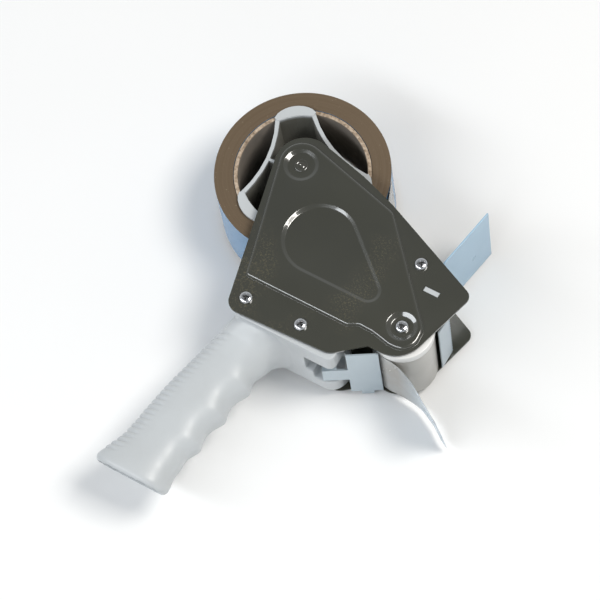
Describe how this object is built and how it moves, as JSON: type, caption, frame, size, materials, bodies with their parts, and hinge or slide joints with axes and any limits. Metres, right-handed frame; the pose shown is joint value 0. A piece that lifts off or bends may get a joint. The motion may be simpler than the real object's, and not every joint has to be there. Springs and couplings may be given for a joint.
{
  "type": "tape dispenser",
  "caption": "Hand-held pistol-grip packing-tape dispenser with a tape roll on a turning hub, guide roller, brake flap, wiper flap and toothed cutting blade.",
  "frame": {"origin": "middle of the outline seen from above, on the surface the dispenser lies on", "axes": "+Z out of the near side plate, towards the viewer, with the dispenser lying on its far side; +Y from the handle's open end towards the tape roll; +X along the body arm from the handle towards the cutting blade"},
  "size_m": [0.1992, 0.2604, 0.0642],
  "materials": {
    "dark_paint": "glossy dark olive-grey stoved paint",
    "grey_moulding": "light grey moulding with a fine satin texture",
    "roller_plastic": "smooth light grey moulding",
    "plated_screws": "bright plated",
    "plain_steel": "cold-rolled, lightly oiled",
    "fibre": "vulcanised fibre",
    "kraft_card": "rough brown cardboard tube",
    "wound_tape": "wound clear film, bluish on its outside and brown on its cut edges",
    "tape_film": "clear film with adhesive on one side",
    "wiper_film": "light blue springy plastic sheet"
  },
  "bodies": {
    "frame": {"near_side_plate": "dark_paint", "far_side_plate": "dark_paint", "hub_axle": "dark_paint", "blade_bracket": "dark_paint", "handle": "grey_moulding", "wiper_holder": "grey_moulding", "near_screw_rear": "plated_screws", "near_screw_grip": "plated_screws", "near_screw_roller": "plated_screws", "near_screw_front": "plated_screws", "far_screw_rear": "plated_screws", "far_screw_grip": "plated_screws", "far_screw_roller": "plated_screws", "far_screw_front": "plated_screws", "bracket_screw_near": "plated_screws", "bracket_screw_far": "plated_screws", "wiper_rivet_near": "plated_screws", "wiper_rivet_far": "plated_screws", "roller_axle": "plain_steel", "front_spacer": "plain_steel", "blade": "plain_steel", "wiper_clamp": "plain_steel", "brake_pin": "plain_steel", "brake_spring": "plain_steel", "tension_spring": "plain_steel", "spring_washer": "plain_steel", "friction_washer": "fibre", "tape_strip": "tape_film"},
    "hub_and_roll": {"tape_hub": "grey_moulding", "tape_core": "kraft_card", "tape_roll": "wound_tape"},
    "guide_roller": {"roller": "roller_plastic", "roller_bush_near": "roller_plastic", "roller_bush_far": "roller_plastic"},
    "knob": {"tension_knob": "grey_moulding"},
    "brake": {"brake_flap": "plain_steel"},
    "wiper": {"wiper_flap": "wiper_film"}
  },
  "joints": [
    {"name": "hub_spin", "type": "hinge", "parent": "frame", "child": "hub_and_roll", "pos_m": [-0.04764, 0.0782, 0], "axis": [0, 0, 1], "continuous": true},
    {"name": "roller_spin", "type": "hinge", "parent": "frame", "child": "guide_roller", "pos_m": [0.05416, 0.017, 0], "axis": [0, 0, 1], "continuous": true},
    {"name": "knob_turn", "type": "hinge", "parent": "frame", "child": "knob", "pos_m": [-0.04764, 0.0782, 0], "axis": [0, 0, 1], "continuous": true},
    {"name": "brake_pivot", "type": "hinge", "parent": "frame", "child": "brake", "pos_m": [0.02206, -0.0138, 0], "axis": [0, 0, 1], "range_deg": [-25, 0], "stiffness_Nm_per_rad": 0.2, "springref_deg": 17.19},
    {"name": "wiper_flex", "type": "hinge", "parent": "frame", "child": "wiper", "pos_m": [0.05286, 0.0492, 0], "axis": [0, 0, 1], "range_deg": [-12, 12], "stiffness_Nm_per_rad": 0.15}
  ],
  "couplings": [
    {"joint": "roller_spin", "follows": "hub_spin", "ratio": -2.843}
  ]
}
